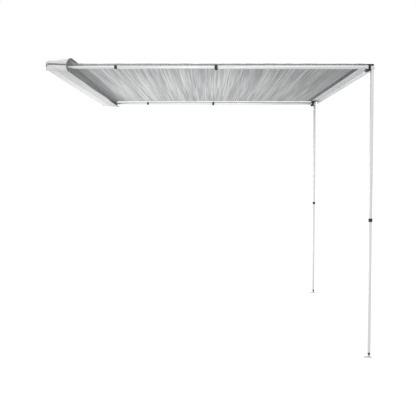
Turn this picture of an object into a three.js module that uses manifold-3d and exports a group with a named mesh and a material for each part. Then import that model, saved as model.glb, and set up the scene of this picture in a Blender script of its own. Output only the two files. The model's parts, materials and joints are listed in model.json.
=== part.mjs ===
// A vehicle side awning, opened out, in millimetres.
// X runs out from the vehicle, Y along it and Z up. The origin is the middle of the backboard's
// back face. Near pieces are modelled at the low Y end, and each far one is their mirror image in Y.
import * as THREE from 'three';
import { mergeVertices } from 'three/addons/utils/BufferGeometryUtils.js';
import Module from 'manifold-3d';

const wasm = await Module();
wasm.setup();

// Driving sizes
const reachOut = 2488;
const armSpacing = 2470;
const legHeight = 2220;
const armLevel = -8;
const gap = 0.3;
const wall = 2;
const throughHole = 60;

// Steps round a circle: full, plain for what is hidden, and small for what is thin
const roundSteps = 24;
const plainSteps = 16;
const smallSteps = 14;
const smallRadius = 6;
const weldDistance = 1e-4;

// Looks
const silver = { color: 0xd9dbda, roughness: 0.35, metalness: 0.7 };
const blackPlastic = { color: 0x141516, roughness: 0.5, metalness: 0 };
const greyPlastic = { color: 0x9b9d9e, roughness: 0.55, metalness: 0 };
const steel = { color: 0xb9bbbc, roughness: 0.3, metalness: 1 };
const canvas = { color: 0xa9abac, roughness: 0.9, metalness: 0 };
const bagCloth = { color: 0xdedfdf, roughness: 0.7, metalness: 0 };
const bagTrim = { color: 0x8c8e90, roughness: 0.7, metalness: 0 };

// Tubes of the arms and legs, each running in the one outside it
const tubeWall = 1.2;
const slideFit = 0.5;
const armOuterRadius = 14;
const armMiddleRadius = armOuterRadius - tubeWall - slideFit;
const armInnerRadius = armMiddleRadius - tubeWall - slideFit;
const legUpperRadius = 12.5;
const legLowerRadius = legUpperRadius - tubeWall - slideFit;

// Twist-lock collars: each is a ribbed shell round the outer of its two tubes
const collarFit = 0.4;
const ribDepth = 1;
const largeShell = 3.9;
const smallShell = 2;
const legShell = 2.3;
const largeCollarLength = 22;
const smallCollarLength = 20;
const legCollarLength = 24;

// Foot plate, which reaches further towards the vehicle than away from it
const footIn = 38;
const footOut = 22;
const footWidth = 30;
const footThickness = 4;
const footPinRise = 16;

// The arms turn on a line behind the legs, and the rail's front face stands clear of a folded foot
const armLegRoom = 10.5;
const armLegSpacing = armOuterRadius + legUpperRadius + armLegRoom;
const railFront = armLegSpacing + footOut + 2 * wall;
const railInnerFace = railFront - wall;
const armPivotX = reachOut - railFront;
const armLineY = -armSpacing / 2;

// Arm sections, measured from the pivot towards the wall
const outerReachShare = 0.4713;
const middleReachShare = 0.313;
const tubeOverlap = 118;
const tipFace = 36;
const tipLength = 40;
const outerTubeEnd = -armPivotX * outerReachShare;
const middleTubeEnd = outerTubeEnd - armPivotX * middleReachShare;
const innerTubeEnd = tipFace + tipLength - armPivotX;

// Leg sections, measured down from the leg's pivot
const legCollarShare = 0.5225;
const legOverlap = 100;
const ankleHeight = 18;
const legCollarLevel = -legHeight * legCollarShare;
const footPinDrop = legHeight - footThickness - footPinRise;
const legTubeBottom = ankleHeight - footPinDrop;
const legTubeTop = legCollarLevel + legOverlap;

// Backboard
const boardDepth = 28;
const boardHeight = 64;
const boardInset = 5;
const boardLength = armSpacing - 2 * boardInset;
const boardLip = 2.6;
const capThickness = 21.7;
const bagGrooveX = 16;
const grooveInset = 4.6;
const beadRadius = 2.6;
const grooveRadius = 3.2;
const slotWidth = 2.4;

// Knuckle, about an arm's pivot
const knuckleOverhang = 15;
const faceRoom = 1;
const plateRise = armOuterRadius + faceRoom;
const plateDepth = 7;
const webX = armOuterRadius + faceRoom;
const webThickness = 8;
const eyeRadius = armOuterRadius - faceRoom;

// Canopy, a little above the knuckles
const canopyRoom = 3.5;
const canopyRise = plateRise + plateDepth + canopyRoom;
const canopyInset = 2;
const canopyLevel = armLevel + canopyRise;
const canopyWidth = armSpacing - 2 * canopyInset;
const canopyThickness = 1.2;
const beadFlag = 7;

// Front rail, about the line of the arms' pivots
const railInset = 45;
const railLength = armSpacing - 2 * railInset;
const railTop = plateRise + plateDepth;
const railBottom = -8;
const railBack = -7;
const bossRadius = 5.2;
const rearBeadX = boardDepth - grooveInset;
const frontBeadX = railBack + bossRadius;

const pinRadius = 3;

// Bag
const bagOverhang = 22.5;
const bagEnd = armSpacing / 2 + bagOverhang;
const upperMouth = { x: 186, z: 55, waves: 3 };
const lowerMouth = { x: 178, z: -47.5, waves: 2 };
const bagThickness = 1.6;
const flapSteps = 8;

// Shared building steps

// A closed, outward-facing mesh with one vertex at each point
function closed(geometry) {
  let shape = geometry.clone();
  shape.deleteAttribute('normal');
  shape.deleteAttribute('uv');
  shape = mergeVertices(shape, weldDistance);
  const places = shape.attributes.position;
  const corners = [0, 1, 2].map(() => new THREE.Vector3());
  const faces = [];
  let volume = 0;
  for (let i = 0; i < shape.index.count; i += 3) {
    const [a, b, c] = [0, 1, 2].map((step) => shape.index.getX(i + step));
    if (a === b || b === c || c === a) continue;
    [a, b, c].forEach((vertex, corner) => corners[corner].fromBufferAttribute(places, vertex));
    volume += corners[0].dot(corners[1].clone().cross(corners[2]));
    faces.push([a, b, c]);
  }
  shape.setIndex(faces.flatMap(([a, b, c]) => (volume < 0 ? [a, c, b] : [a, b, c])));
  return shape;
}

function toManifold(geometry) {
  const shape = closed(geometry);
  const mesh = new wasm.Mesh({
    numProp: 3,
    vertProperties: new Float32Array(shape.attributes.position.array),
    triVerts: new Uint32Array(shape.index.array),
  });
  return new wasm.Manifold(mesh);
}

function toGeometry(manifold) {
  const mesh = manifold.getMesh();
  const geometry = new THREE.BufferGeometry();
  geometry.setAttribute('position', new THREE.BufferAttribute(new Float32Array(mesh.vertProperties), 3));
  geometry.setIndex(new THREE.BufferAttribute(new Uint32Array(mesh.triVerts), 1));
  return geometry;
}

function joined(...shapes) {
  return toGeometry(shapes.map(toManifold).reduce((whole, next) => whole.add(next)));
}

function cut(base, ...tools) {
  return toGeometry(tools.map(toManifold).reduce((rest, tool) => rest.subtract(tool), toManifold(base)));
}

// A box between two opposite corners
function block(low, high) {
  const size = low.map((value, axis) => high[axis] - value);
  const geometry = new THREE.BoxGeometry(...size);
  geometry.translate(...low.map((value, axis) => value + size[axis] / 2));
  return geometry;
}

// A turned body on a line from start along an axis; its profile is pairs of distance and radius
function turned(profile, start, axis, steps = roundSteps) {
  const points = profile.map(([along, radius]) => new THREE.Vector2(radius, along));
  const thin = points.every((point) => point.x < smallRadius);
  const geometry = new THREE.LatheGeometry(points, thin ? smallSteps : steps);
  if (axis === 'x') geometry.rotateZ(-Math.PI / 2);
  if (axis === 'z') geometry.rotateX(Math.PI / 2);
  geometry.translate(...start);
  return geometry;
}

function rod(radius, length, start, axis) {
  return turned([[0, 0], [0, radius], [length, radius], [length, 0]], start, axis);
}

// A rod of half the given length to each side of a middle point
function crossRod(radius, length, middle, axis) {
  const start = middle.map((value, i) => value - ('xyz'[i] === axis ? length / 2 : 0));
  return rod(radius, length, start, axis);
}

function pipe(radius, bore, length, start, axis) {
  return turned([[0, bore], [0, radius], [length, radius], [length, bore], [0, bore]], start, axis);
}

// A pin with a head at its far end
function headedPin(radius, length, headRadius, headHeight, start, axis) {
  return turned([
    [0, 0],
    [0, radius],
    [length, radius],
    [length, headRadius],
    [length + headHeight, headRadius],
    [length + headHeight, 0],
  ], start, axis);
}

// A pin whose head comes first
function headFirstPin(radius, length, headRadius, headHeight, start, axis) {
  return turned([
    [0, 0],
    [0, headRadius],
    [headHeight, headRadius],
    [headHeight, radius],
    [length, radius],
    [length, 0],
  ], start, axis);
}

// An outline in X and Z, drawn out along Y
function prism(outline, lowY, highY) {
  const shape = outline instanceof THREE.Shape ? outline : new THREE.Shape(
    outline.map(([x, z]) => new THREE.Vector2(x, z)),
  );
  const geometry = new THREE.ExtrudeGeometry(shape, {
    depth: highY - lowY,
    bevelEnabled: false,
    curveSegments: 8,
  });
  geometry.rotateX(Math.PI / 2);
  geometry.translate(0, highY, 0);
  return geometry;
}

// A soft sheet about the surface that middle(u, v) describes; thickness(u) is its thickness across it
function sheet(middle, thickness, acrossSteps, alongSteps) {
  const shareStep = 0.01;
  const points = [];
  for (const side of [-1, 1]) {
    for (let i = 0; i <= acrossSteps; i += 1) {
      for (let j = 0; j <= alongSteps; j += 1) {
        const [u, v] = [i / acrossSteps, j / alongSteps];
        const across = middle(u + shareStep, v).sub(middle(u - shareStep, v));
        const along = middle(u, v + shareStep).sub(middle(u, v - shareStep));
        const normal = across.cross(along).normalize();
        points.push(...middle(u, v).addScaledVector(normal, side * thickness(u) / 2).toArray());
      }
    }
  }
  const layer = (acrossSteps + 1) * (alongSteps + 1);
  const at = (side, i, j) => side * layer + i * (alongSteps + 1) + j;
  const faces = [];
  const quad = (a, b, c, d) => faces.push(a, b, c, a, c, d);
  for (let i = 0; i < acrossSteps; i += 1) {
    for (let j = 0; j < alongSteps; j += 1) {
      quad(at(1, i, j), at(1, i + 1, j), at(1, i + 1, j + 1), at(1, i, j + 1));
      quad(at(0, i, j), at(0, i, j + 1), at(0, i + 1, j + 1), at(0, i + 1, j));
    }
    quad(at(0, i, 0), at(0, i + 1, 0), at(1, i + 1, 0), at(1, i, 0));
    const j = alongSteps;
    quad(at(0, i + 1, j), at(0, i, j), at(1, i, j), at(1, i + 1, j));
  }
  for (let j = 0; j < alongSteps; j += 1) {
    const i = acrossSteps;
    quad(at(0, 0, j + 1), at(0, 0, j), at(1, 0, j), at(1, 0, j + 1));
    quad(at(0, i, j), at(0, i, j + 1), at(1, i, j + 1), at(1, i, j));
  }
  const geometry = new THREE.BufferGeometry();
  geometry.setAttribute('position', new THREE.Float32BufferAttribute(points, 3));
  geometry.setIndex(faces);
  return closed(geometry);
}

// The assembly: the wall unit at the origin, the canopy at its own level, and the rail unit on the
// line of the arms' pivots, with an arm and a leg hinged at each end and an ankle under each leg
const awning = new THREE.Group();
awning.name = 'side_awning';

function addGroup(parent, x, y, z) {
  const group = new THREE.Group();
  group.position.set(x, y, z);
  parent.add(group);
  return group;
}

// A near and a far group, the same way out and up, and y to each side
function addGroupPair(parents, x, y, z) {
  return [addGroup(parents[0], x, -y, z), addGroup(parents[1], x, y, z)];
}

const wallUnit = addGroup(awning, 0, 0, 0);
const canopyUnit = addGroup(awning, 0, 0, canopyLevel);
const railUnit = addGroup(awning, armPivotX, 0, armLevel);
const armPair = addGroupPair([railUnit, railUnit], 0, armSpacing / 2, 0);
const legPair = addGroupPair(armPair, armLegSpacing, 0, 0);
const anklePair = addGroupPair(legPair, 0, 0, -footPinDrop);

function addPiece(parent, name, geometry, look) {
  const mesh = new THREE.Mesh(closed(geometry), new THREE.MeshStandardMaterial(look));
  mesh.name = name;
  parent.add(mesh);
}

// A near piece and its mirror image at the far end
function addPair(parents, name, geometry, look) {
  addPiece(parents[0], `near_${name}`, geometry, look);
  addPiece(parents[1], `far_${name}`, geometry.clone().scale(1, -1, 1), look);
}

// Backboard: an extrusion with two bolt slots at the back, two grooves for the bag and one for the canopy
function boardOutline() {
  const round = 3;
  const top = boardHeight / 2;
  const outline = new THREE.Shape();
  outline.moveTo(0, -top);
  outline.lineTo(boardDepth - round, -top);
  outline.absarc(boardDepth - round, round - top, round, -Math.PI / 2, 0, false);
  outline.absarc(boardDepth - round, top - round, round, 0, Math.PI / 2, false);
  outline.lineTo(0, top);
  return outline;
}

// Round grooves with a slot, which run the length of the backboard and through its end caps
function boardGrooves() {
  const start = -boardLength;
  const length = 2 * boardLength;
  const bagZ = boardHeight / 2 - grooveInset;
  const half = slotWidth / 2;
  const tools = [];
  for (const side of [-1, 1]) {
    const inner = side * bagZ;
    const outer = side * boardHeight;
    const [low, high] = [Math.min(inner, outer), Math.max(inner, outer)];
    tools.push(rod(grooveRadius, length, [bagGrooveX, start, inner], 'y'));
    tools.push(block([bagGrooveX - half, start, low], [bagGrooveX + half, start + length, high]));
  }
  tools.push(rod(grooveRadius, length, [rearBeadX, start, canopyLevel], 'y'));
  tools.push(block(
    [rearBeadX, start, canopyLevel - half],
    [2 * boardDepth, start + length, canopyLevel + half],
  ));
  return tools;
}

function backboard() {
  const half = boardLength / 2;
  const past = half + wall;
  const slotZ = 21;
  const slotNeck = 4;
  const slotHead = 7;
  const slotDepth = 9;
  const rearChamber = 12;
  const frontChamberLow = -20.5;
  const frontChamberHigh = 11.5;
  const tools = boardGrooves();
  for (const side of [-1, 1]) {
    const z = side * slotZ;
    tools.push(block([-wall, -past, z - slotNeck], [slotDepth, past, z + slotNeck]));
    tools.push(block([boardLip, -past, z - slotHead], [slotDepth, past, z + slotHead]));
  }
  tools.push(block([boardLip, -past, -rearChamber], [slotDepth, past, rearChamber]));
  tools.push(block(
    [slotDepth + boardLip, -past, frontChamberLow],
    [boardDepth - boardLip, past, frontChamberHigh],
  ));
  return cut(prism(boardOutline(), -half, half), ...tools);
}

// End cap with the socket that holds the arm's tip between two jaws
const capInner = -boardLength / 2 - gap;
const capOuter = capInner - capThickness;
const capScrew = { x: 18.5, z: -4.5, radius: 1.9, headRadius: 4, headHeight: 2.2, length: 36 };

function endCap() {
  const jawGap = 11;
  const jaw = 6;
  const jawReach = 68;
  const jawSide = 13;
  const socketSide = 4;
  const socketBack = 4;
  const jawInner = armLineY + jawSide;
  const cheek = prism(boardOutline(), capOuter, capInner);
  const jaws = cut(
    block(
      [boardDepth - wall, capOuter, armLevel - jawGap - jaw],
      [jawReach, jawInner, armLevel + jawGap + jaw],
    ),
    block(
      [boardDepth + socketBack, capOuter + socketSide, armLevel - jawGap],
      [jawReach + wall, jawInner + wall, armLevel + jawGap],
    ),
  );
  const roomForBoard = block(
    [0, capInner, -boardHeight],
    [boardDepth + gap, jawInner + wall, boardHeight],
  );
  const screwHole = crossRod(
    capScrew.radius + gap, throughHole, [capScrew.x, (capInner + capOuter) / 2, capScrew.z], 'y',
  );
  return cut(joined(cheek, jaws), roomForBoard, screwHole, ...boardGrooves());
}

function capScrewBody() {
  const { x, z, radius, headRadius, headHeight, length } = capScrew;
  return headFirstPin(radius, length, headRadius, headHeight, [x, capOuter - gap - headHeight, z], 'y');
}

// Bag flaps: each rises from a bead in its groove and reaches out to the mouth
function flapPath(mouth, u) {
  const rootRise = 1.5;
  const firstShare = 0.15;
  const lastShare = 0.72;
  const lastRiseShare = 0.42;
  const rootZ = Math.sign(mouth.z) * (boardHeight / 2 + rootRise);
  const curve = new THREE.CubicBezierCurve(
    new THREE.Vector2(bagGrooveX, rootZ),
    new THREE.Vector2(THREE.MathUtils.lerp(bagGrooveX, mouth.x, firstShare), rootZ),
    new THREE.Vector2(
      THREE.MathUtils.lerp(bagGrooveX, mouth.x, lastShare),
      THREE.MathUtils.lerp(rootZ, mouth.z, lastRiseShare),
    ),
    new THREE.Vector2(mouth.x, mouth.z),
  );
  return curve.getPoint(u);
}

// The mouth's edge waves a little along the bag, and lies true at both ends
function flapPoint(mouth, u, v) {
  const waveHeight = 3;
  const place = flapPath(mouth, u);
  const fade = Math.sin(Math.PI * THREE.MathUtils.clamp(v, 0, 1));
  const lift = waveHeight * u * u * fade * Math.sin(2 * Math.PI * mouth.waves * v);
  return new THREE.Vector3(place.x, (2 * v - 1) * bagEnd, place.y + lift);
}

function bagFlap(mouth) {
  const beadZ = Math.sign(mouth.z) * (boardHeight / 2 - grooveInset);
  const rootZ = flapPath(mouth, 0).y;
  const half = bagThickness / 2;
  const cloth = sheet((u, v) => flapPoint(mouth, u, v), () => bagThickness, 6, 24);
  const bead = rod(beadRadius, 2 * bagEnd, [bagGrooveX, -bagEnd, beadZ], 'y');
  const neck = block(
    [bagGrooveX - half, -bagEnd, Math.min(beadZ, rootZ)],
    [bagGrooveX + half, bagEnd, Math.max(beadZ, rootZ)],
  );
  const turn = rod(half, 2 * bagEnd, [bagGrooveX, -bagEnd, rootZ], 'y');
  return joined(cloth, bead, neck, turn);
}

// Zip tape under the flap's edge, with its row of teeth along the free side
function zipTape(mouth) {
  const tapeThickness = 1.2;
  const teethThickness = 2.6;
  const teethShare = 0.6;
  const startShare = 0.95;
  const endShare = 1.065;
  const drop = bagThickness / 2 + gap + tapeThickness / 2;
  const tapePoint = (u, v) => {
    const point = flapPoint(mouth, THREE.MathUtils.lerp(startShare, endShare, u), v);
    point.z -= Math.sign(mouth.z) * drop;
    return point;
  };
  const thickness = (u) => (u > teethShare ? teethThickness : tapeThickness);
  return sheet(tapePoint, thickness, 4, 24);
}

// Bag end: a wedge-shaped panel with a closed zip along its middle
const gussetOuter = -bagEnd - gap - bagThickness;
const seamStart = new THREE.Vector2(14, 12);
const seamEnd = new THREE.Vector2(158, 6);

function bagGusset() {
  const rear = 1;
  const rearRise = 30;
  const lip = 136;
  const lipLevel = 4;
  const shares = [...Array(flapSteps + 1).keys()].map((step) => step / flapSteps);
  const upper = shares.map((share) => flapPath(upperMouth, share));
  const lower = shares.map((share) => flapPath(lowerMouth, 1 - share));
  const mouthArc = new THREE.QuadraticBezierCurve(
    new THREE.Vector2(upperMouth.x, upperMouth.z),
    new THREE.Vector2(lip, lipLevel),
    new THREE.Vector2(lowerMouth.x, lowerMouth.z),
  ).getPoints(flapSteps).slice(1, -1);
  const outline = new THREE.Shape([
    new THREE.Vector2(rear, rearRise),
    ...upper,
    ...mouthArc,
    ...lower,
    new THREE.Vector2(rear, -rearRise),
  ]);
  const panel = prism(outline, gussetOuter, gussetOuter + bagThickness);
  const seamHalf = 1.6;
  const seamThickness = 1;
  const seam = prism([
    [seamStart.x, seamStart.y - seamHalf],
    [seamEnd.x, seamEnd.y - seamHalf],
    [seamEnd.x, seamEnd.y + seamHalf],
    [seamStart.x, seamStart.y + seamHalf],
  ], gussetOuter - seamThickness, gussetOuter + bagThickness / 2);
  return joined(panel, seam);
}

// Zip slider, parked at the rear end of the near panel's zip, and the pull that swings on its pin
const slider = { middle: 8, halfWidth: 5, height: 8, thickness: 3, lug: 4, halfLug: 1.5 };
const sliderBack = gussetOuter - gap;
const sliderFront = sliderBack - slider.thickness;
const sliderTop = seamStart.y + slider.height / 2;
const pullPinRadius = 0.7;
const pullPin = [slider.middle, sliderFront - slider.lug / 2, seamStart.y - slider.lug / 4];
const pullUnit = addGroup(wallUnit, ...pullPin);

function zipSlider() {
  const [, pinY, pinZ] = pullPin;
  const body = block(
    [slider.middle - slider.halfWidth, sliderFront, sliderTop - slider.height],
    [slider.middle + slider.halfWidth, sliderBack, sliderTop],
  );
  const lug = block(
    [slider.middle - slider.halfLug, pinY - slider.lug / 2, pinZ - slider.lug / 2],
    [slider.middle + slider.halfLug, sliderBack - slider.thickness / 2, pinZ + slider.lug / 2],
  );
  return cut(joined(body, lug), crossRod(pullPinRadius + gap, 2 * slider.height, pullPin, 'x'));
}

// The pull, about its pin: a tab with an open fork that passes each side of the slider's lug
function zipPull() {
  const halfWidth = 4;
  const length = 20;
  const thickness = 1.6;
  const slotDepth = 5;
  const halfSlot = slider.halfLug + gap;
  const top = 2 * pullPinRadius;
  const tab = cut(
    block([-halfWidth, -thickness / 2, top - length], [halfWidth, thickness / 2, top]),
    block([-halfSlot, -thickness, top - slotDepth], [halfSlot, thickness, top + wall]),
  );
  return joined(tab, crossRod(pullPinRadius, halfWidth, [0, 0, 0], 'x'));
}

// Canopy: a taut sheet between two sewn-in beads, with shallow creases along the vehicle
const canopyStart = rearBeadX + beadFlag + gap;
const canopyEnd = armPivotX + frontBeadX - beadFlag - gap;

function canopy() {
  const sag = 14;
  const creaseHeight = 1.6;
  const creases = 23;
  const swells = 3.5;
  const fadeShare = 1 / 12;
  const length = canopyEnd - canopyStart;
  const point = (u, v) => {
    const inner = THREE.MathUtils.clamp(u, 0, 1);
    const hang = Math.sin(Math.PI * inner) * Math.sin(Math.PI * THREE.MathUtils.clamp(v, 0, 1));
    const fade = Math.min(1, inner / fadeShare, (1 - inner) / fadeShare);
    const wander = Math.sin(2 * Math.PI * v) / 2;
    const swell = Math.cos(2 * Math.PI * swells * u + Math.PI * v);
    const ripple = Math.sin(2 * Math.PI * creases * u + wander) * swell;
    return new THREE.Vector3(
      canopyStart + u * length,
      (v - 1 / 2) * canopyWidth,
      creaseHeight * ripple * fade - sag * hang,
    );
  };
  return sheet(point, () => canopyThickness, 4 * creases, 5);
}

// A bead in its groove, with the flag of cloth that runs out of the slot towards the canopy
function canopyBead(x, z, length, direction) {
  const half = canopyThickness / 2;
  const flagEnd = x + direction * beadFlag;
  const bead = rod(beadRadius, length, [x, -length / 2, z], 'y');
  const flag = block(
    [Math.min(x, flagEnd), -length / 2, z - half],
    [Math.max(x, flagEnd), length / 2, z + half],
  );
  return joined(bead, flag);
}

// Front rail: a top web and an outer wall, with a groove for the canopy and a sail track below
function frontRail() {
  const half = railLength / 2;
  const past = half + wall;
  const corner = 6;
  const trackZ = railBottom + bossRadius;
  const trackX = railFront + bossRadius - wall;
  const outline = new THREE.Shape();
  outline.moveTo(frontBeadX, railTop);
  outline.lineTo(railFront - corner, railTop);
  outline.absarc(railFront - corner, railTop - corner, corner, Math.PI / 2, 0, true);
  outline.lineTo(railFront, railBottom);
  outline.lineTo(railInnerFace, railBottom);
  outline.lineTo(railInnerFace, railTop - corner);
  outline.absarc(railFront - corner, railTop - corner, corner - wall, 0, Math.PI / 2, false);
  outline.lineTo(frontBeadX, railTop - wall);
  const bracket = block(
    [frontBeadX - wall / 2, -half, railTop - wall],
    [frontBeadX + wall, half, canopyRise - grooveRadius],
  );
  const groove = rod(bossRadius, railLength, [frontBeadX, -half, canopyRise], 'y');
  const track = rod(bossRadius, railLength, [trackX, -half, trackZ], 'y');
  const slotHalf = slotWidth / 2;
  return cut(
    joined(prism(outline, -half, half), bracket, groove, track),
    rod(grooveRadius, 2 * past, [frontBeadX, -past, canopyRise], 'y'),
    block(
      [frontBeadX - 2 * bossRadius, -past, canopyRise - slotHalf],
      [frontBeadX, past, canopyRise + slotHalf],
    ),
    rod(grooveRadius, 2 * past, [trackX, -past, trackZ], 'y'),
    block([trackX - slotHalf, -past, trackZ - 2 * bossRadius], [trackX + slotHalf, past, trackZ]),
    ...railScrewHoles(),
  );
}

// Knuckle screws, half way between the arm and the leg, into the knuckle's tongue under the rail's web
const knuckleScrew = { inset: 34, radius: 1.9, headRadius: 4, headHeight: 2.2, length: 9 };
const screwX = armLegSpacing / 2;
const screwY = railInset + knuckleScrew.inset;

function railScrewHoles() {
  const y = armSpacing / 2 - screwY;
  return [-y, y].map((place) => crossRod(
    knuckleScrew.radius + gap, 4 * wall, [screwX, place, railTop - wall], 'z',
  ));
}

function knuckleScrewBody() {
  const { radius, headRadius, headHeight, length } = knuckleScrew;
  const start = [screwX, screwY, railTop + gap + headHeight - length];
  return headedPin(radius, length - headHeight, headRadius, headHeight, start, 'z');
}

// Knuckle: upper plate, a V-shaped lower plate and an upright web between the arm and the leg
function knuckle() {
  const back = -9;
  const front = armLegSpacing + eyeRadius;
  const tongueLength = 56;
  const hood = 12;
  const webLow = -34;
  const webReach = 42;
  const lowerThickness = 3;
  const inner = railInset - gap;
  const upper = new THREE.Shape();
  upper.moveTo(back, plateRise);
  upper.lineTo(front, plateRise);
  upper.lineTo(front, railTop - hood / 2);
  upper.absellipse(front - hood, railTop - hood / 2, hood, hood / 2, 0, Math.PI / 2, false);
  upper.lineTo(back + wall, railTop);
  upper.lineTo(back, railTop - wall);
  const lower = [
    [-eyeRadius, -plateRise],
    [-eyeRadius, -plateRise - lowerThickness],
    [wall, webLow - wall],
    [webX + webThickness, -plateRise - eyeRadius],
    [webX + webThickness, -plateRise],
  ];
  return cut(
    joined(
      prism(upper, -knuckleOverhang, inner),
      block(
        [railBack + wall, inner - wall, plateRise],
        [railInnerFace - 2 * wall, inner + tongueLength, railTop - wall - gap],
      ),
      prism(lower, -knuckleOverhang, webReach),
      block(
        [webX, -knuckleOverhang, -plateRise - eyeRadius],
        [webX + webThickness, webReach, plateRise + wall],
      ),
    ),
    crossRod(pinRadius + gap, 2 * throughHole, [0, 0, 0], 'z'),
    crossRod(pinRadius + gap, throughHole, [webX, 0, 0], 'x'),
    crossRod(knuckleScrew.radius + gap, throughHole, [screwX, screwY, plateRise], 'z'),
  );
}

const pinHead = { radius: 5, height: 2 };

function armPivotPin() {
  const low = -24;
  return headedPin(pinRadius, railTop + gap - low, pinHead.radius, pinHead.height, [0, 0, low], 'z');
}

function legPivotPin() {
  const start = webX + gap - armLegSpacing;
  return headedPin(pinRadius, eyeRadius - start, pinHead.radius, pinHead.height, [start, 0, 0], 'x');
}

// Arms, about the pivot, each running towards the wall
const hingeReach = 16;
const neckInset = 3.5;
const flange = 2;
const plugLength = 30;
const plugFit = 0.3;

function armHingeEnd() {
  const halfHeight = plateRise - faceRoom;
  const neckHalf = armOuterRadius - neckInset;
  const bore = armOuterRadius - tubeWall - plugFit;
  const eye = crossRod(eyeRadius, 2 * halfHeight, [0, 0, 0], 'z');
  const neck = block([-hingeReach - flange / 2, -neckHalf, -neckHalf], [0, neckHalf, neckHalf]);
  const start = [-hingeReach - plugLength - flange, 0, 0];
  const plug = headedPin(bore, plugLength, armOuterRadius, flange, start, 'x');
  return cut(joined(eye, neck, plug), crossRod(pinRadius + gap, throughHole, [0, 0, 0], 'z'));
}

function armTube(radius, start, end) {
  return pipe(radius, radius - tubeWall, end - start, [start, 0, 0], 'x');
}

function armOuterTube() {
  return armTube(armOuterRadius, outerTubeEnd, -hingeReach - flange - gap);
}

function armMiddleTube() {
  return armTube(armMiddleRadius, middleTubeEnd, outerTubeEnd + tubeOverlap);
}

function armInnerTube() {
  return armTube(armInnerRadius, innerTubeEnd + gap, middleTubeEnd + tubeOverlap);
}

// A bush plugged into a tube's end, running in the bore of the next tube
function bush(tubeRadius, tubeEnd, axis) {
  const collarLength = 8;
  const plug = 16;
  const runFit = 0.2;
  const bore = tubeRadius - tubeWall - plugFit;
  const run = tubeRadius + runFit;
  const start = [0, 0, 0].map((value, i) => ('xyz'[i] === axis ? tubeEnd + gap - plug : value));
  return turned([
    [0, bore - wall],
    [0, bore],
    [plug, bore],
    [plug, run],
    [plug + collarLength, run],
    [plug + collarLength, bore - wall],
    [0, bore - wall],
  ], start, axis, plainSteps);
}

// The tip: a plug in the inner tube and a flat tongue that rests between the socket's jaws
function armTip() {
  const halfHeight = 8;
  const halfWidth = 9;
  const flangeLength = 4;
  const bore = armInnerRadius - tubeWall - plugFit;
  const tongueEnd = innerTubeEnd - flangeLength;
  const tongue = block([tipFace - armPivotX, -halfWidth, -halfHeight], [tongueEnd, halfWidth, halfHeight]);
  const core = crossRod(halfHeight - faceRoom, flangeLength, [tongueEnd, 0, 0], 'x');
  const plug = headFirstPin(
    bore, flangeLength + plugLength, armInnerRadius, flangeLength, [tongueEnd, 0, 0], 'x',
  );
  return joined(tongue, core, plug);
}

// A twist-lock collar: half on the outer tube, half on the tube that slides in it, with grip ribs
function collar(shell, outerTube, innerTube, length, middle, axis) {
  const ribs = 8;
  const rim = 4;
  const radius = outerTube + collarFit + shell;
  const waist = radius - ribDepth;
  const waistShares = [0.1, 0.55];
  const ribShares = [0.63, 0.92];
  const corners = [
    ...waistShares.map((share) => [waist, share]),
    ...ribShares.map((share) => [radius, share]),
  ];
  const outline = [...Array(ribs).keys()].flatMap((rib) => corners.map(([reach, share]) => {
    const angle = 2 * Math.PI * (rib + share) / ribs;
    return new THREE.Vector2(reach * Math.cos(angle), reach * Math.sin(angle));
  }));
  const ribbed = new THREE.Shape(outline);
  const along = (distance) => middle.map((value, i) => value + ('xyz'[i] === axis ? distance : 0));
  const grip = new THREE.ExtrudeGeometry(ribbed, { depth: length - rim, bevelEnabled: false });
  if (axis === 'x') grip.rotateY(Math.PI / 2);
  grip.translate(...along(-length / 2));
  return cut(
    joined(grip, rod(radius, rim, along(length / 2 - rim), axis)),
    crossRod(innerTube + collarFit, 2 * length, middle, axis),
    rod(outerTube + collarFit, length, along(-gap), axis),
  );
}

// The large collar also has a locking wing below it
function armLargeCollar() {
  const middle = [outerTubeEnd, 0, 0];
  const wingHalf = 2.5;
  const wingDrop = 5;
  const wingReach = largeCollarLength / 2 - wall;
  const radius = armOuterRadius + collarFit + largeShell;
  const ring = collar(largeShell, armOuterRadius, armMiddleRadius, largeCollarLength, middle, 'x');
  const wing = block(
    [outerTubeEnd - wingReach, -wingHalf, -radius - wingDrop],
    [outerTubeEnd + wingReach, wingHalf, wall - radius],
  );
  return joined(ring, wing);
}

function armSmallCollar() {
  const middle = [middleTubeEnd, 0, 0];
  return collar(smallShell, armMiddleRadius, armInnerRadius, smallCollarLength, middle, 'x');
}

// Legs, about the leg's pivot, each running down
function legHingeEnd() {
  const neckHalf = legUpperRadius - neckInset;
  const eyeHalf = legUpperRadius - faceRoom;
  const bore = legUpperRadius - tubeWall - plugFit;
  const eye = crossRod(eyeHalf, 2 * eyeHalf, [0, 0, 0], 'x');
  const neck = block([-neckHalf, -neckHalf, -hingeReach - flange / 2], [neckHalf, neckHalf, 0]);
  const start = [0, 0, -hingeReach - plugLength];
  const plug = headedPin(bore, plugLength - flange, legUpperRadius, flange, start, 'z');
  return cut(joined(eye, neck, plug), crossRod(pinRadius + gap, throughHole, [0, 0, 0], 'x'));
}

function legTube(radius, bottom, top) {
  return pipe(radius, radius - tubeWall, top - bottom, [0, 0, bottom], 'z');
}

function legUpperTube() {
  return legTube(legUpperRadius, legCollarLevel, -hingeReach - flange - gap);
}

function legLowerTube() {
  return legTube(legLowerRadius, legTubeBottom, legTubeTop);
}

function legCollar() {
  const middle = [0, 0, legCollarLevel];
  return collar(legShell, legUpperRadius, legLowerRadius, legCollarLength, middle, 'z');
}

// Ankle, about the foot's pin: a clevis in the lower tube, the pin, and a plate with two peg holes
const lugHalf = 3;
const clevisHalf = 9;
const footPinRadius = 2.5;

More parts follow.
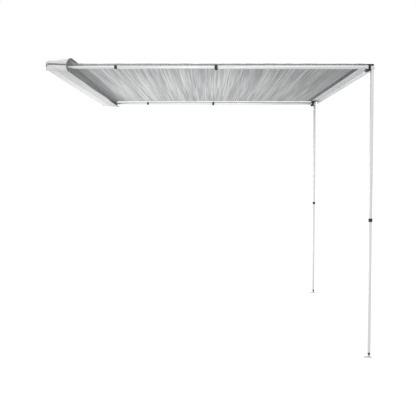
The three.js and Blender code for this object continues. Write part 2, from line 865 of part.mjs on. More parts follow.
function footClevis() {
  const bore = legLowerRadius - tubeWall - plugFit;
  const cheekHalf = 7;
  const flangeHeight = 4;
  const flangeLow = ankleHeight - gap - flangeHeight;
  const plug = headFirstPin(
    bore, flangeHeight + plugLength, legLowerRadius, flangeHeight, [0, 0, flangeLow], 'z',
  );
  const cheeks = block(
    [-cheekHalf, -clevisHalf, 0],
    [cheekHalf, clevisHalf, flangeLow + flangeHeight / 2],
  );
  const lugRoom = block(
    [-2 * cheekHalf, -lugHalf - gap, -2 * cheekHalf],
    [2 * cheekHalf, lugHalf + gap, flangeLow - gap],
  );
  return cut(
    joined(plug, cheeks, crossRod(cheekHalf, 2 * clevisHalf, [0, 0, 0], 'y')),
    lugRoom,
    crossRod(footPinRadius + gap, throughHole, [0, 0, 0], 'y'),
  );
}

function footPlate() {
  const halfWidth = footWidth / 2;
  const corner = 8;
  const holeRadius = 4.5;
  const innerHole = 13;
  const outerHole = 9;
  const lugRadius = 7;
  const groundLevel = -footPinRise - footThickness;
  const outline = new THREE.Shape();
  outline.moveTo(corner - footIn, -halfWidth);
  outline.absarc(footOut - corner, corner - halfWidth, corner, -Math.PI / 2, 0, false);
  outline.absarc(footOut - corner, halfWidth - corner, corner, 0, Math.PI / 2, false);
  outline.absarc(corner - footIn, halfWidth - corner, corner, Math.PI / 2, Math.PI, false);
  outline.absarc(corner - footIn, corner - halfWidth, corner, Math.PI, 3 * Math.PI / 2, false);
  for (const x of [innerHole - footIn, footOut - outerHole]) {
    const hole = new THREE.Path();
    hole.absarc(x, 0, holeRadius, 0, 2 * Math.PI, true);
    outline.holes.push(hole);
  }
  const plate = new THREE.ExtrudeGeometry(outline, {
    depth: footThickness,
    bevelEnabled: false,
    curveSegments: 5,
  });
  plate.translate(0, 0, groundLevel);
  const lug = block([-lugRadius, -lugHalf, groundLevel + footThickness / 2], [lugRadius, lugHalf, 0]);
  return cut(
    joined(plate, lug, crossRod(lugRadius, 2 * lugHalf, [0, 0, 0], 'y')),
    crossRod(footPinRadius + gap, throughHole, [0, 0, 0], 'y'),
  );
}

function footPin() {
  const headHeight = 1.4;
  const headRadius = 4;
  const start = -clevisHalf - gap - headHeight;
  return headFirstPin(footPinRadius, clevisHalf - start, headRadius, headHeight, [0, start, 0], 'y');
}

const wallPair = [wallUnit, wallUnit];
addPiece(wallUnit, 'backboard', backboard(), silver);
addPair(wallPair, 'end_cap', endCap(), greyPlastic);
addPair(wallPair, 'cap_screw', capScrewBody(), steel);
addPiece(wallUnit, 'bag_upper_flap', bagFlap(upperMouth), bagCloth);
addPiece(wallUnit, 'bag_lower_flap', bagFlap(lowerMouth), bagCloth);
addPair(wallPair, 'bag_end_panel', bagGusset(), bagCloth);
addPiece(wallUnit, 'upper_zip_tape', zipTape(upperMouth), bagTrim);
addPiece(wallUnit, 'lower_zip_tape', zipTape(lowerMouth), bagTrim);
addPiece(wallUnit, 'zip_slider', zipSlider(), greyPlastic);
addPiece(pullUnit, 'zip_pull', zipPull(), greyPlastic);
addPiece(wallUnit, 'canopy_rear_bead', canopyBead(rearBeadX, canopyLevel, canopyWidth, 1), bagTrim);

addPiece(canopyUnit, 'canopy', canopy(), canvas);

addPiece(railUnit, 'canopy_front_bead', canopyBead(frontBeadX, canopyRise, railLength, -1), bagTrim);
addPiece(railUnit, 'front_rail', frontRail(), silver);
addPair(armPair, 'knuckle', knuckle(), blackPlastic);
addPair(armPair, 'knuckle_screw', knuckleScrewBody(), steel);
addPair(armPair, 'arm_pivot_pin', armPivotPin(), steel);
addPair(legPair, 'leg_pivot_pin', legPivotPin(), steel);

addPair(armPair, 'arm_hinge_end', armHingeEnd(), silver);
addPair(armPair, 'arm_outer_tube', armOuterTube(), silver);
addPair(armPair, 'arm_large_collar', armLargeCollar(), blackPlastic);
addPair(armPair, 'arm_middle_tube', armMiddleTube(), silver);
addPair(armPair, 'arm_middle_bush', bush(armMiddleRadius, outerTubeEnd + tubeOverlap, 'x'), blackPlastic);
addPair(armPair, 'arm_small_collar', armSmallCollar(), blackPlastic);
addPair(armPair, 'arm_inner_tube', armInnerTube(), silver);
addPair(armPair, 'arm_inner_bush', bush(armInnerRadius, middleTubeEnd + tubeOverlap, 'x'), blackPlastic);
addPair(armPair, 'arm_tip', armTip(), greyPlastic);

addPair(legPair, 'leg_hinge_end', legHingeEnd(), silver);
addPair(legPair, 'leg_upper_tube', legUpperTube(), silver);
addPair(legPair, 'leg_collar', legCollar(), blackPlastic);
addPair(legPair, 'leg_lower_tube', legLowerTube(), silver);
addPair(legPair, 'leg_bush', bush(legLowerRadius, legTubeTop, 'z'), blackPlastic);
addPair(anklePair, 'foot_clevis', footClevis(), blackPlastic);
addPair(anklePair, 'foot_plate', footPlate(), steel);
addPair(anklePair, 'foot_pin', footPin(), steel);

export default awning;
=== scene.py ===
"""The looks of a vehicle side awning, opened out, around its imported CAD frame. Metres, +Z up.

X runs out from the vehicle and Y along it. The origin is the middle of the wall rail's back face.
"""
import bmesh
import bpy
import json
import math
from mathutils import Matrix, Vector, noise


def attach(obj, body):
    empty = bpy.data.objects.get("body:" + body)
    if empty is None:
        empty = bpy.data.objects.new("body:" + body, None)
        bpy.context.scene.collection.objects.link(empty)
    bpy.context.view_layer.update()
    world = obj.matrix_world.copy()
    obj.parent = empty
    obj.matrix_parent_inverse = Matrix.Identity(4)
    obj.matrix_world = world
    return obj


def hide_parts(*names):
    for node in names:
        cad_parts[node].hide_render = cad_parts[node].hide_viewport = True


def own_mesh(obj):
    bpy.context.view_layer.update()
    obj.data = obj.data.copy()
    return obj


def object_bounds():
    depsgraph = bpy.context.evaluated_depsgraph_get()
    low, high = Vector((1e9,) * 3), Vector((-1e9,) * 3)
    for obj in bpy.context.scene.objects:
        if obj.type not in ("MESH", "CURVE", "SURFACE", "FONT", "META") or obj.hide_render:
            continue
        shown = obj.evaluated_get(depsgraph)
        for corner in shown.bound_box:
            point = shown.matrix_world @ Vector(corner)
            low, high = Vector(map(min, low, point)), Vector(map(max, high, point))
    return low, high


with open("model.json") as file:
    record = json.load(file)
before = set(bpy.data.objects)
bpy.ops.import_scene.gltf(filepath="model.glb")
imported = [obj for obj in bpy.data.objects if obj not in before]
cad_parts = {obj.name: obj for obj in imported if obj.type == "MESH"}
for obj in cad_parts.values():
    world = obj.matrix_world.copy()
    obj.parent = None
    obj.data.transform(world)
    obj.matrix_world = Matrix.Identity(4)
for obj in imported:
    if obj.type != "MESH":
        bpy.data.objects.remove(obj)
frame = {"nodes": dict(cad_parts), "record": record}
cad_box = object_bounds()
MM = 0.001
X_AXIS, Y_AXIS, Z_AXIS = 0, 1, 2

# Sizes that the looks share with the CAD frame
RAIL_JOINT = next(row for row in frame["record"]["behaviour"]["joints"] if row["name"] == "rail_travel")
CANOPY_START = RAIL_JOINT["deforming_nodes"][0]["fixed_end_x_m"]
CANOPY_END = 2415.9 * MM
CANOPY_HALF = 1233 * MM  # half of its width, along the vehicle
CANOPY_LEVEL = 17.5 * MM  # where its edges are held
CANOPY_SAG = 14 * MM  # how far its middle hangs under that
FLOOR_LEVEL = cad_box[0].z  # the soles of the feet
BAG_END = 1257.5 * MM  # half of the bag's length
BAG_ROOT_X = 16 * MM
BAG_ROOT_RISE = 33.5 * MM  # how far above or below the middle a flap leaves the wall rail
BAG_CLOTH = 1.4 * MM
UPPER_MOUTH = (186 * MM, 55 * MM)  # the free edge of the upper flap, as x and z
LOWER_MOUTH = (178 * MM, -47.5 * MM)

# Places of a mix node's sockets: its share, then the two colours and their blend, then two plain values
MIX_SHARE = 0
MIX_FROM, MIX_TO, MIX_BLEND = 6, 7, 2
MIX_VALUE_FROM, MIX_VALUE_TO = 2, 3

# A wave texture at scale 1 repeats over this length, and its height is the output at this place
WAVE_REPEAT = math.pi / 10
WAVE_HEIGHT = 1


# Colour and nodes

def linear(hex_colour):
    """An sRGB hex colour as linear red, green, blue and alpha, by the sRGB curve."""
    channels = [int(hex_colour[i:i + 2], 16) / 255 for i in (0, 2, 4)]
    return [c / 12.92 if c <= 0.04045 else ((c + 0.055) / 1.055) ** 2.4 for c in channels] + [1.0]


def add(tree, kind, inputs=None, **settings):
    """Adds a node. Settings are its properties; inputs are values, or sockets to link, by name or place."""
    made = tree.nodes.new(kind)
    for name, value in settings.items():
        setattr(made, name, value)
    for name, value in (inputs or {}).items():
        if isinstance(value, bpy.types.NodeSocket):
            tree.links.new(value, made.inputs[name])
        else:
            made.inputs[name].default_value = value
    return made


def new_material(name):
    """An empty material with its output, ready for a shader."""
    material = bpy.data.materials.new(name)
    material.use_nodes = True
    tree = material.node_tree
    tree.nodes.clear()
    output = tree.nodes.new("ShaderNodeOutputMaterial")
    place = tree.nodes.new("ShaderNodeTexCoord").outputs["Object"]
    return material, tree, output, place


# Hard materials

def anodised_aluminium(name, run, dark="C9CACB", light="DEDFDF"):
    """Extruded and satin anodised: pale silver, with faint draw lines along the run."""
    draw_line = 4 * MM  # real draw lines are a tenth of a millimetre apart, too fine to show
    line_length = 350 * MM
    material, tree, output, place = new_material(name)
    stretch = [1 / draw_line] * 3
    stretch[run] = 1 / line_length
    drawn = add(tree, "ShaderNodeMapping", {"Vector": place, "Scale": stretch})
    lines = add(tree, "ShaderNodeTexNoise", {"Vector": drawn.outputs[0], "Scale": 1.0, "Detail": 3.0})
    colour = add(tree, "ShaderNodeMix", {
        MIX_SHARE: lines.outputs[0],
        MIX_FROM: linear(dark),
        MIX_TO: linear(light),
    }, data_type="RGBA")
    roughness = add(tree, "ShaderNodeMapRange", {
        "Value": lines.outputs[0],
        "To Min": 0.5,
        "To Max": 0.65,
    })
    bump = add(tree, "ShaderNodeBump", {
        "Height": lines.outputs[0],
        "Strength": 0.2,
        "Distance": 0.3 * MM,
    })
    shader = add(tree, "ShaderNodeBsdfPrincipled", {
        "Base Color": colour.outputs[MIX_BLEND],
        "Metallic": 1.0,
        "Roughness": roughness.outputs[0],
        "Normal": bump.outputs[0],
    })
    tree.links.new(shader.outputs[0], output.inputs[0])
    return material


def moulded_plastic(name, dark, light, roughness):
    """Moulded with a spark-eroded texture: a matt skin with a fine even grain and soft scuffs."""
    grit = 1.5 * MM  # real spark grain is a tenth of that, too fine to show
    scuff = 45 * MM
    material, tree, output, place = new_material(name)
    grain = add(tree, "ShaderNodeTexNoise", {"Vector": place, "Scale": 1 / grit, "Detail": 4.0})
    scuffs = add(tree, "ShaderNodeTexNoise", {"Vector": place, "Scale": 1 / scuff, "Detail": 2.0})
    colour = add(tree, "ShaderNodeMix", {
        MIX_SHARE: scuffs.outputs[0],
        MIX_FROM: linear(dark),
        MIX_TO: linear(light),
    }, data_type="RGBA")
    rough = add(tree, "ShaderNodeMapRange", {
        "Value": scuffs.outputs[0],
        "From Min": 0.3,
        "From Max": 0.7,
        "To Min": roughness - 0.07,
        "To Max": roughness + 0.08,
    })
    bump = add(tree, "ShaderNodeBump", {
        "Height": grain.outputs[0],
        "Strength": 0.35,
        "Distance": 0.1 * MM,
    })
    shader = add(tree, "ShaderNodeBsdfPrincipled", {
        "Base Color": colour.outputs[MIX_BLEND],
        "Roughness": rough.outputs[0],
        "IOR": 1.53,
        "Normal": bump.outputs[0],
    })
    tree.links.new(shader.outputs[0], output.inputs[0])
    return material


def zinc_plated_steel():
    """Bright zinc over pressed steel: a bluish silver, clouded in soft patches."""
    patch = 6 * MM
    material, tree, output, place = new_material("zinc_plated_steel")
    clouds = add(tree, "ShaderNodeTexNoise", {"Vector": place, "Scale": 1 / patch, "Detail": 5.0})
    colour = add(tree, "ShaderNodeMix", {
        MIX_SHARE: clouds.outputs[0],
        MIX_FROM: linear("B4B8BC"),
        MIX_TO: linear("DADCDE"),
    }, data_type="RGBA")
    roughness = add(tree, "ShaderNodeMapRange", {
        "Value": clouds.outputs[0],
        "To Min": 0.2,
        "To Max": 0.45,
    })
    shader = add(tree, "ShaderNodeBsdfPrincipled", {
        "Base Color": colour.outputs[MIX_BLEND],
        "Metallic": 1.0,
        "Roughness": roughness.outputs[0],
    })
    tree.links.new(shader.outputs[0], output.inputs[0])
    return material


# Cloth materials

def canopy_canvas():
    """Polyester canvas with a matt coating: soft grey, a plain weave, and painted light and shade in lines
    along its creases.
    """
    thread = 2.5 * MM  # real threads are 0.4 mm apart, too fine to show
    crease = 9 * MM
    fold = 75 * MM
    crease_length = 1400 * MM
    fold_skew = math.radians(1.5)
    material, tree, output, place = new_material("polyester_canvas_coated")
    fine = add(tree, "ShaderNodeMapping", {
        "Vector": place,
        "Scale": (1 / crease, 1 / crease_length, 1 / crease_length),
    })
    broad = add(tree, "ShaderNodeMapping", {
        "Vector": place,
        "Scale": (1 / fold, 1 / (2 * crease_length), 1 / crease_length),
        "Rotation": (0, 0, fold_skew),
    })
    creases = add(tree, "ShaderNodeTexNoise", {
        "Vector": fine.outputs[0],
        "Scale": 1.0,
        "Detail": 3.0,
        "Roughness": 0.65,
    })
    folds = add(tree, "ShaderNodeTexNoise", {"Vector": broad.outputs[0], "Scale": 1.0, "Detail": 2.0})
    both = add(tree, "ShaderNodeMix", {
        MIX_SHARE: 0.3,
        MIX_VALUE_FROM: creases.outputs[0],
        MIX_VALUE_TO: folds.outputs[0],
    })
    # Lighter and darker lines along the creases and folds: painted light and shade
    crease_light_and_shade = add(tree, "ShaderNodeMapRange", {
        "Value": both.outputs[0],
        "From Min": 0.42,
        "From Max": 0.58,
    })
    colour = add(tree, "ShaderNodeMix", {
        MIX_SHARE: crease_light_and_shade.outputs[0],
        MIX_FROM: linear("B0B2B5"),
        MIX_TO: linear("F2F3F2"),
    }, data_type="RGBA")
    warp = add(tree, "ShaderNodeTexWave", {
        "Vector": place,
        "Scale": WAVE_REPEAT / thread,
        "Distortion": 0.3,
    }, bands_direction="X")
    weft = add(tree, "ShaderNodeTexWave", {
        "Vector": place,
        "Scale": WAVE_REPEAT / thread,
        "Distortion": 0.3,
    }, bands_direction="Y")
    weave = add(tree, "ShaderNodeMath", {
        0: warp.outputs[WAVE_HEIGHT],
        1: weft.outputs[WAVE_HEIGHT],
    }, operation="MAXIMUM")
    threads = add(tree, "ShaderNodeBump", {
        "Height": weave.outputs[0],
        "Strength": 0.25,
        "Distance": 0.2 * MM,
    })
    bump = add(tree, "ShaderNodeBump", {
        "Height": creases.outputs[0],
        "Strength": 0.5,
        "Distance": 3 * MM,
        "Normal": threads.outputs[0],
    })
    shader = add(tree, "ShaderNodeBsdfPrincipled", {
        "Base Color": colour.outputs[MIX_BLEND],
        "Roughness": 0.85,
        "IOR": 1.45,
        "Sheen Weight": 0.15,
        "Sheen Roughness": 0.5,
        "Normal": bump.outputs[0],
    })
    tree.links.new(shader.outputs[0], output.inputs[0])
    return material


def coated_bag_cloth(name, dark, light, roughness):
    """PVC-coated polyester: a smooth leathery face with a soft grain and handling marks."""
    grain_size = 3 * MM  # the real grain is under a millimetre, too fine to show
    mark = 90 * MM
    material, tree, output, place = new_material(name)
    grain = add(tree, "ShaderNodeTexVoronoi", {"Vector": place, "Scale": 1 / grain_size})
    marks = add(tree, "ShaderNodeTexNoise", {"Vector": place, "Scale": 1 / mark, "Detail": 4.0})
    colour = add(tree, "ShaderNodeMix", {
        MIX_SHARE: marks.outputs[0],
        MIX_FROM: linear(dark),
        MIX_TO: linear(light),
    }, data_type="RGBA")
    rough = add(tree, "ShaderNodeMapRange", {
        "Value": marks.outputs[0],
        "To Min": roughness - 0.1,
        "To Max": roughness + 0.1,
    })
    grained = add(tree, "ShaderNodeBump", {
        "Height": grain.outputs[0],
        "Strength": 0.25,
        "Distance": 0.2 * MM,
    })
    bump = add(tree, "ShaderNodeBump", {
        "Height": marks.outputs[0],
        "Strength": 0.4,
        "Distance": 6 * MM,
        "Normal": grained.outputs[0],
    })
    shader = add(tree, "ShaderNodeBsdfPrincipled", {
        "Base Color": colour.outputs[MIX_BLEND],
        "Roughness": rough.outputs[0],
        "IOR": 1.5,
        "Normal": bump.outputs[0],
    })
    tree.links.new(shader.outputs[0], output.inputs[0])
    return material


def woven_tape(name, dark, light, run):
    """Woven polyester tape: fine ribs across the run, X or Y, and a dry matt face."""
    rib = 2 * MM  # real ribs are 0.7 mm apart, too fine to show
    material, tree, output, place = new_material(name)
    ribs = add(tree, "ShaderNodeTexWave", {
        "Vector": place,
        "Scale": WAVE_REPEAT / rib,
        "Distortion": 0.4,
    }, bands_direction="XY"[run])
    colour = add(tree, "ShaderNodeMix", {
        MIX_SHARE: ribs.outputs[WAVE_HEIGHT],
        MIX_FROM: linear(dark),
        MIX_TO: linear(light),
    }, data_type="RGBA")
    bump = add(tree, "ShaderNodeBump", {
        "Height": ribs.outputs[WAVE_HEIGHT],
        "Strength": 0.5,
        "Distance": 0.3 * MM,
    })
    shader = add(tree, "ShaderNodeBsdfPrincipled", {
        "Base Color": colour.outputs[MIX_BLEND],
        "Roughness": 0.9,
        "IOR": 1.45,
        "Sheen Weight": 0.2,
        "Normal": bump.outputs[0],
    })
    tree.links.new(shader.outputs[0], output.inputs[0])
    return material


# Aluminium by the family of the part, with its draw lines along the part's own run
ALUMINIUM = {
    "arm": anodised_aluminium("anodised_aluminium_arms", X_AXIS),
    "rail": anodised_aluminium("anodised_aluminium_rails", Y_AXIS),
    "leg": anodised_aluminium("anodised_aluminium_legs", Z_AXIS),
    # The front rail takes a lighter copy of the aluminium: painted light, with painted shade on its faces
    # that look down
    "front": anodised_aluminium("anodised_aluminium_front_rail_painted_light", Y_AXIS, "DCDDDE", "F0F1F1"),
}
# A darker copy of the aluminium: painted shade under the front rail's web
RAIL_UNDERSIDE_PAINTED_SHADE = anodised_aluminium("aluminium_rail_underside_painted_shade", Y_AXIS, "B6B7B8", "CACBCC")
BLACK_NYLON = moulded_plastic("glass_filled_nylon_black", "0F1011", "1B1C1E", roughness=0.5)
GREY_ABS = moulded_plastic("moulded_abs_grey", "8E9092", "A6A8A9", roughness=0.5)
ZINC = zinc_plated_steel()
CANVAS = canopy_canvas()
# The flaps and the end panels are one cloth in lit and shaded copies: the flaps' darker copy is painted
# shade, the end panels' lighter copy painted light
BAG_FACE = coated_bag_cloth("pvc_coated_cloth_pale", "CACBCC", "DBDBDA", roughness=0.5)
BAG_END_FACE_PAINTED_LIGHT = coated_bag_cloth("pvc_coated_cloth_ends_painted_light", "E9EAEA", "F5F5F4", roughness=0.5)
# White for the strip along each flap's root: a painted highlight
BAG_PAINTED_HIGHLIGHT = coated_bag_cloth("pvc_white_painted_highlight", "E8E9E9", "F2F2F1", roughness=0.45)
BAG_BACK = coated_bag_cloth("pvc_coated_cloth_inside", "D2D4D6", "DFE1E2", roughness=0.7)
BAG_TAPE = woven_tape("woven_polyester_tape_bag", "85878A", "A2A4A6", Y_AXIS)
BAG_PIPING = coated_bag_cloth("pvc_piping_pale", "CFD0D0", "E6E6E5", roughness=0.5)
THREAD = woven_tape("bonded_polyester_thread", "B4B6B8", "CFD0D0", Y_AXIS)
ZIP_TEETH = moulded_plastic("moulded_acetal_zip_teeth", "6E7073", "85878A", roughness=0.35)
HEM_TAPE = woven_tape("woven_polyester_tape_hem", "AEB0B2", "C6C8C9", X_AXIS)
# A dark tape for the canopy's front: painted shade along the front rail
FRONT_TAPE_PAINTED_SHADE = woven_tape("woven_tape_front_painted_shade", "66686B", "7E8083", Y_AXIS)


# Rigid pieces: the CAD shapes with their facets smoothed and their edges broken

BODY_OF = {
    node_name: body
    for body, members in frame["record"]["behaviour"]["bodies"].items()
    for node_name in members
}
SLOT_OF = {row["node"]: row["material_slot"] for row in frame["record"]["subparts"]}
# Nodes that the soft pieces stand for
SOFT_NODES = {
    "canopy", "bag_upper_flap", "bag_lower_flap", "near_bag_end_panel", "far_bag_end_panel",
    "upper_zip_tape", "lower_zip_tape",
}
SLOT_FINISHES = {"black_plastic": BLACK_NYLON, "grey_plastic": GREY_ABS, "steel": ZINC, "bag_trim": BAG_TAPE}
# By a part of the node's name
EDGE_RADII = {"arm_": 0.3 * MM, "leg_": 0.3 * MM, "knuckle": 0.8 * MM, "foot": 0.5 * MM}
OTHER_EDGE_RADIUS = 0.4 * MM
SAME_CORNER = 0.01 * MM  # corners closer than this are one
SAME_PLANE = math.radians(1)  # facets that meet at less than this are one face
BROKEN_EDGE = math.radians(40)  # edges where faces meet at more than this are rounded
SHARP_EDGE = math.radians(38)  # edges where faces meet at more than this aren't shaded smooth


def put_in_scene(name, data):
    """A new object of the scene, which shows a mesh, a lamp or a camera."""
    made = bpy.data.objects.new(name, data)
    bpy.context.scene.collection.objects.link(made)
    return made


def material_of(node_name):
    """The finish of a rigid node: by its family for aluminium, and else by its slot."""
    slot = SLOT_OF[node_name]
    if slot != "silver_aluminium":
        return SLOT_FINISHES[slot]
    family = next((part for part in ("leg", "arm", "front") if part + "_" in node_name), "rail")
    return ALUMINIUM[family]


def smooth_by_angle(mesh, angle):
    """Shades the mesh smooth, with sharp edges where two faces meet at more than the angle."""
    mesh.shade_smooth()
    mesh.set_sharp_from_angle(angle=angle)


def join_facets(mesh):
    """Joins the mesh's doubled corners, and its facets that lie in one plane."""
    shape = bmesh.new()
    shape.from_mesh(mesh)
    bmesh.ops.remove_doubles(shape, verts=shape.verts, dist=SAME_CORNER)
    bmesh.ops.dissolve_limit(shape, angle_limit=SAME_PLANE, verts=shape.verts, edges=shape.edges)
    shape.to_mesh(mesh)
    shape.free()


def rounded_mesh(piece, radius):
    """A piece's mesh with its edges rounded to a radius."""
    bevel = piece.modifiers.new("edges", "BEVEL")
    bevel.width = radius
    bevel.segments = 2
    bevel.limit_method = "ANGLE"
    bevel.angle_limit = BROKEN_EDGE
    bevel.harden_normals = False
    bpy.context.view_layer.update()
    rounded = bpy.data.meshes.new_from_object(piece.evaluated_get(bpy.context.evaluated_depsgraph_get()))
    piece.modifiers.clear()
    return rounded


def paint_shade_on_rail_underside(mesh):
    """Paints shade on the front rail's faces that look down, with a darker copy of its aluminium."""
    mesh.materials.append(RAIL_UNDERSIDE_PAINTED_SHADE)
    looks_down = -0.4  # a face looks down when the z of its normal is under this
    for face in mesh.polygons:
        if face.normal.z < looks_down:
            face.material_index = 1


def finished_piece(node_name):
    """A rigid node's shape as one clean piece, with its facets joined and its edges rounded."""
    mesh = frame["nodes"][node_name].data.copy()
    join_facets(mesh)
    mesh.materials.clear()
    mesh.materials.append(material_of(node_name))
    piece = put_in_scene("finished_" + node_name, mesh)
    radius = next((size for part, size in EDGE_RADII.items() if part in node_name), OTHER_EDGE_RADIUS)
    piece.data = rounded_mesh(piece, radius)
    # The front rail's faces that look down get painted shade
    if node_name == "front_rail":
        paint_shade_on_rail_underside(piece.data)
    smooth_by_angle(piece.data, SHARP_EDGE)
    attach(piece, BODY_OF[node_name])
    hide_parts(node_name)


for rigid_node in sorted(set(SLOT_OF) - SOFT_NODES):
    finished_piece(rigid_node)


# Soft pieces: each is a sheet of cloth laid out as rows of points, with a face, a back and closed edges

CLOTH_FOLD = math.radians(50)  # cloth that turns by more than this at an edge isn't shaded smooth


def lerp(a, b, share):
    """The value at a share of the way from a to b."""
    return a + (b - a) * share


def spread(low, high, steps):
    """The ends of so many even steps from low to high."""
    return [lerp(low, high, i / steps) for i in range(steps + 1)]


def smooth_step(share):
    """A rise from 0 to 1 that eases in and out, level before and after."""
    share = min(max(share, 0.0), 1.0)
    return share * share * (3 - 2 * share)


def line_length(points):
    """The length of a broken line of points."""
    return sum((after - before).length for before, after in zip(points, points[1:]))


def sheet_points(rows, thickness):
    """The corners of a sheet of the given thickness about rows of points, of its face and then its back."""
    count, width = len(rows), len(rows[0])
    points = []
    for side in (0.5, -0.5):
        for i, row in enumerate(rows):
            for j, point in enumerate(row):
                down = rows[min(i + 1, count - 1)][j] - rows[max(i - 1, 0)][j]
                right = row[min(j + 1, width - 1)] - row[max(j - 1, 0)]
                points.append(point + down.cross(right).normalized() * side * thickness)
    return points


def sheet_faces(count, width):
    """The faces of a sheet of count by width points: of its face, its back and its closed edges."""
    def at(side, i, j):
        return (side * count + i) * width + j

    low, right = count - 1, width - 1
    cells = [(i, j) for i in range(low) for j in range(right)]
    face = [(at(0, i, j), at(0, i + 1, j), at(0, i + 1, j + 1), at(0, i, j + 1)) for i, j in cells]
    back = [(at(1, i, j), at(1, i, j + 1), at(1, i + 1, j + 1), at(1, i + 1, j)) for i, j in cells]
    edges = []
    for i in range(low):
        edges.append((at(0, i, 0), at(1, i, 0), at(1, i + 1, 0), at(0, i + 1, 0)))
        edges.append((at(0, i, right), at(0, i + 1, right), at(1, i + 1, right), at(1, i, right)))
    for j in range(right):
        edges.append((at(0, 0, j), at(0, 0, j + 1), at(1, 0, j + 1), at(1, 0, j)))
        edges.append((at(0, low, j), at(1, low, j), at(1, low, j + 1), at(0, low, j + 1)))
    return face, back, edges


def cloth_mesh(name, rows, thickness, face_material, back_material):
    """A sheet of cloth about rows of points; its face looks along row step x column step."""
    face, back, edges = sheet_faces(len(rows), len(rows[0]))
    mesh = bpy.data.meshes.new(name)
    mesh.from_pydata(sheet_points(rows, thickness), [], face + back + edges)
    mesh.materials.append(face_material)
    mesh.materials.append(back_material)
    mesh.polygons.foreach_set("material_index", [0] * len(face) + [1] * len(back) + [0] * len(edges))
    smooth_by_angle(mesh, CLOTH_FOLD)
    return mesh


def small_blocks(name, places, size, material):
    """Many small chamfered blocks, such as stitches or zip teeth; each place is a centre and three axes."""
    flat = 0.6  # the share of each side that lies between its chamfers
    lower = [(-1, -flat), (-flat, -1), (flat, -1), (1, -flat)]
    upper = [(1, flat), (flat, 1), (-flat, 1), (-1, flat)]
    profile = lower + upper
    steps = len(profile)
    length, width, height = size
    points, faces = [], []
    for centre, long_way, wide_way, high_way in places:
        start = len(points)
        for end in (-0.5, 0.5):
            for wide, high in profile:
                point = centre + long_way * length * end
                point += wide_way * width * wide / 2
                point += high_way * height * high / 2
                points.append(point)
        for k in range(steps):
            after = (k + 1) % steps
            faces.append((start + k, start + after, start + steps + after, start + steps + k))
        faces.append(tuple(start + k for k in reversed(range(steps))))
        faces.append(tuple(start + steps + k for k in range(steps)))
    mesh = bpy.data.meshes.new(name)
    mesh.from_pydata(points, [], faces)
    mesh.materials.append(material)
    return mesh


def tube(name, points, radius, material, sides=10):
    """A round cord along a line of points, closed at both ends."""
    too_steep = 0.9  # a line that rises more than this turns about another axis
    bend_angle = math.radians(60)
    rings, faces = [], []
    for i, point in enumerate(points):
        along = (points[min(i + 1, len(points) - 1)] - points[max(i - 1, 0)]).normalized()
        aside = Vector((0, 0, 1)) if abs(along.z) < too_steep else Vector((1, 0, 0))
        wide = along.cross(aside).normalized()
        high = wide.cross(along)
        for k in range(sides):
            angle = 2 * math.pi * k / sides
            rings.append(point + radius * (math.cos(angle) * wide + math.sin(angle) * high))
    for i in range(len(points) - 1):
        for k in range(sides):
            after = (k + 1) % sides
            faces.append((i * sides + k, i * sides + after, (i + 1) * sides + after, (i + 1) * sides + k))
    faces.append(tuple(reversed(range(sides))))
    faces.append(tuple(range((len(points) - 1) * sides, len(points) * sides)))
    mesh = bpy.data.meshes.new(name)
    mesh.from_pydata(rings, [], faces)
    mesh.materials.append(material)
    smooth_by_angle(mesh, bend_angle)
    return mesh


def add_piece(mesh, nodes=()):
    """Hangs a made mesh on the wall unit under its own name, in place of the CAD nodes it stands for."""
    piece = put_in_scene(mesh.name, mesh)
    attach(piece, "wall_unit")
    if nodes:
        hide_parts(*nodes)
    return piece


# Canopy

CANOPY_THICKNESS = 0.9 * MM
CANOPY_ROWS = 460
CANOPY_COLUMNS = 44
HEM_OFFSET = 0.9 * MM
HEM_THICKNESS = 0.7 * MM
SIDE_HEM_WIDTH = 26 * MM
FRONT_HEM_WIDTH = 45 * MM


def canopy_crease(x, y):
    """How far a crease lifts the canopy at a point; creases run along the vehicle."""
    wide, narrow, length = 70 * MM, 26 * MM, 900 * MM
    roll_height, ridge_height = 2.6 * MM, 0.8 * MM
    roll_layer, ridge_layer = 3.1, 8.7  # far apart in the noise, so that they differ
    roll = noise.noise(Vector((x / wide, y / length, roll_layer)))
    ridge = 1 - 2 * abs(noise.noise(Vector((x / narrow, y / length, ridge_layer))))
    edge = smooth_step((x - CANOPY_START) / wide) * smooth_step((CANOPY_END - x) / wide)
    return edge * (roll_height * roll + ridge_height * ridge)


def canopy_point(x, y):
    """A point of the canopy's cloth, with its sag and its creases."""
    u = (x - CANOPY_START) / (CANOPY_END - CANOPY_START)
    v = (y + CANOPY_HALF) / (2 * CANOPY_HALF)
    hang = CANOPY_SAG * math.sin(math.pi * u) * math.sin(math.pi * v)
    return Vector((x, y, CANOPY_LEVEL - hang + canopy_crease(x, y)))


def canopy_hem(name, along, across, offset, material):
    """A strip of tape sewn to the canopy, at an offset above or below it."""
    rows = [[canopy_point(x, y) + Vector((0, 0, offset)) for y in across] for x in along]
    return add_piece(cloth_mesh(name, rows, HEM_THICKNESS, material, material))


def canopy_hems():
    """The tapes that bind the canopy's two sides and its front, above and below; the front tape's dark grey
    is painted shade along the front rail.
    """
    inner = CANOPY_HALF - SIDE_HEM_WIDTH
    side_run = spread(CANOPY_START, CANOPY_END, CANOPY_ROWS // 2)
    near_width = spread(-CANOPY_HALF, -inner, steps=2)
    far_width = spread(inner, CANOPY_HALF, steps=2)
    front_run = spread(CANOPY_END - FRONT_HEM_WIDTH, CANOPY_END, steps=6)
    front_width = spread(-inner, inner, 2 * CANOPY_COLUMNS)
    hems = []
    for layer, offset in (("upper", HEM_OFFSET), ("lower", -HEM_OFFSET)):
        hems.append(canopy_hem(f"near_hem_{layer}", side_run, near_width, offset, HEM_TAPE))
        hems.append(canopy_hem(f"far_hem_{layer}", side_run, far_width, offset, HEM_TAPE))
        hems.append(canopy_hem(f"front_hem_{layer}", front_run, front_width, offset, FRONT_TAPE_PAINTED_SHADE))
    return hems


